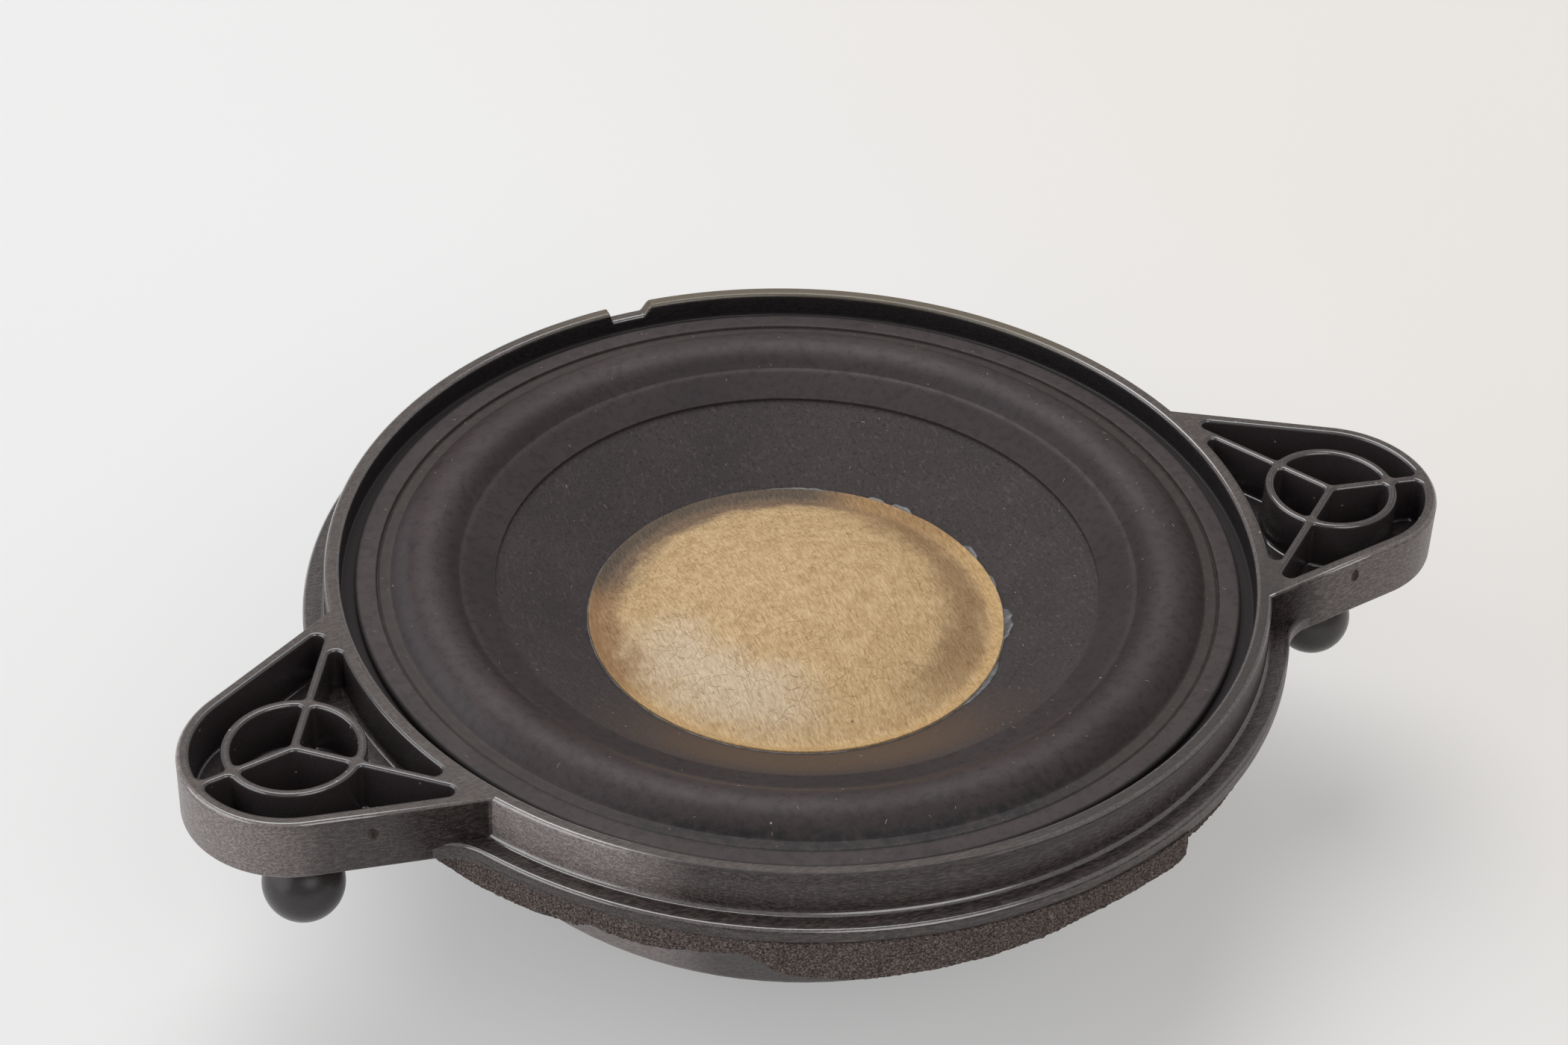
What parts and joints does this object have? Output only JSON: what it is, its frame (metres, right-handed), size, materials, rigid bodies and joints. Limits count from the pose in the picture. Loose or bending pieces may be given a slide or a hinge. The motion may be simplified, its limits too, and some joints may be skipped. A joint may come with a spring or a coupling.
{
  "type": "dashboard speaker",
  "caption": "Round midrange loudspeaker driver for a dashboard, in a moulded frame with ribbed ears, ball studs for snap-in mounting, a foam gasket and a felted dust cap.",
  "frame": {"origin": "centre of the motor's flat rear face, on the cone's axis", "axes": "+Z along the cone's axis, out of the front; +X along the two ears; +Y towards the rim's locating notch and the terminal socket"},
  "size_m": [0.1404, 0.1048, 0.036],
  "materials": {
    "basket_plastic": "satin",
    "stud_plastic": "satin",
    "foam": "open-cell foam",
    "surround_rubber": "satin",
    "cone_paper": "matte",
    "cap_paper": "matte felted",
    "clear_glue": "translucent",
    "former_film": "glossy",
    "copper": "polished",
    "dark_glue": "glossy",
    "spider_cloth": "matte woven",
    "plated_steel": "satin plated",
    "magnet_plating": "plated",
    "tinned_brass": "satin",
    "copper_braid": "braided",
    "solder": "bright"
  },
  "bodies": {
    "frame": {"basket": "basket_plastic", "ball_stud_left": "stud_plastic", "ball_stud_right": "stud_plastic", "foam_gasket": "foam", "surround": "surround_rubber", "spider": "spider_cloth", "motor_cup": "plated_steel", "magnet": "magnet_plating", "pole_plate": "plated_steel", "motor_glue": "dark_glue", "terminal_housing": "basket_plastic", "terminal_blade_left": "tinned_brass", "terminal_blade_right": "tinned_brass", "lead_left": "copper_braid", "lead_right": "copper_braid", "lead_solder": "solder"},
    "cone": {"cone": "cone_paper", "dust_cap": "cap_paper", "dust_cap_glue": "clear_glue", "voice_coil_former": "former_film", "voice_coil_winding": "copper", "neck_glue": "dark_glue"}
  },
  "joints": [
    {"name": "cone_travel", "type": "slide", "parent": "frame", "child": "cone", "axis": [0, 0, 1], "range_m": [-0.0025, 0.0025], "stiffness_N_per_m": 1200, "deforming": ["surround", "spider", "lead_left", "lead_right"]}
  ]
}
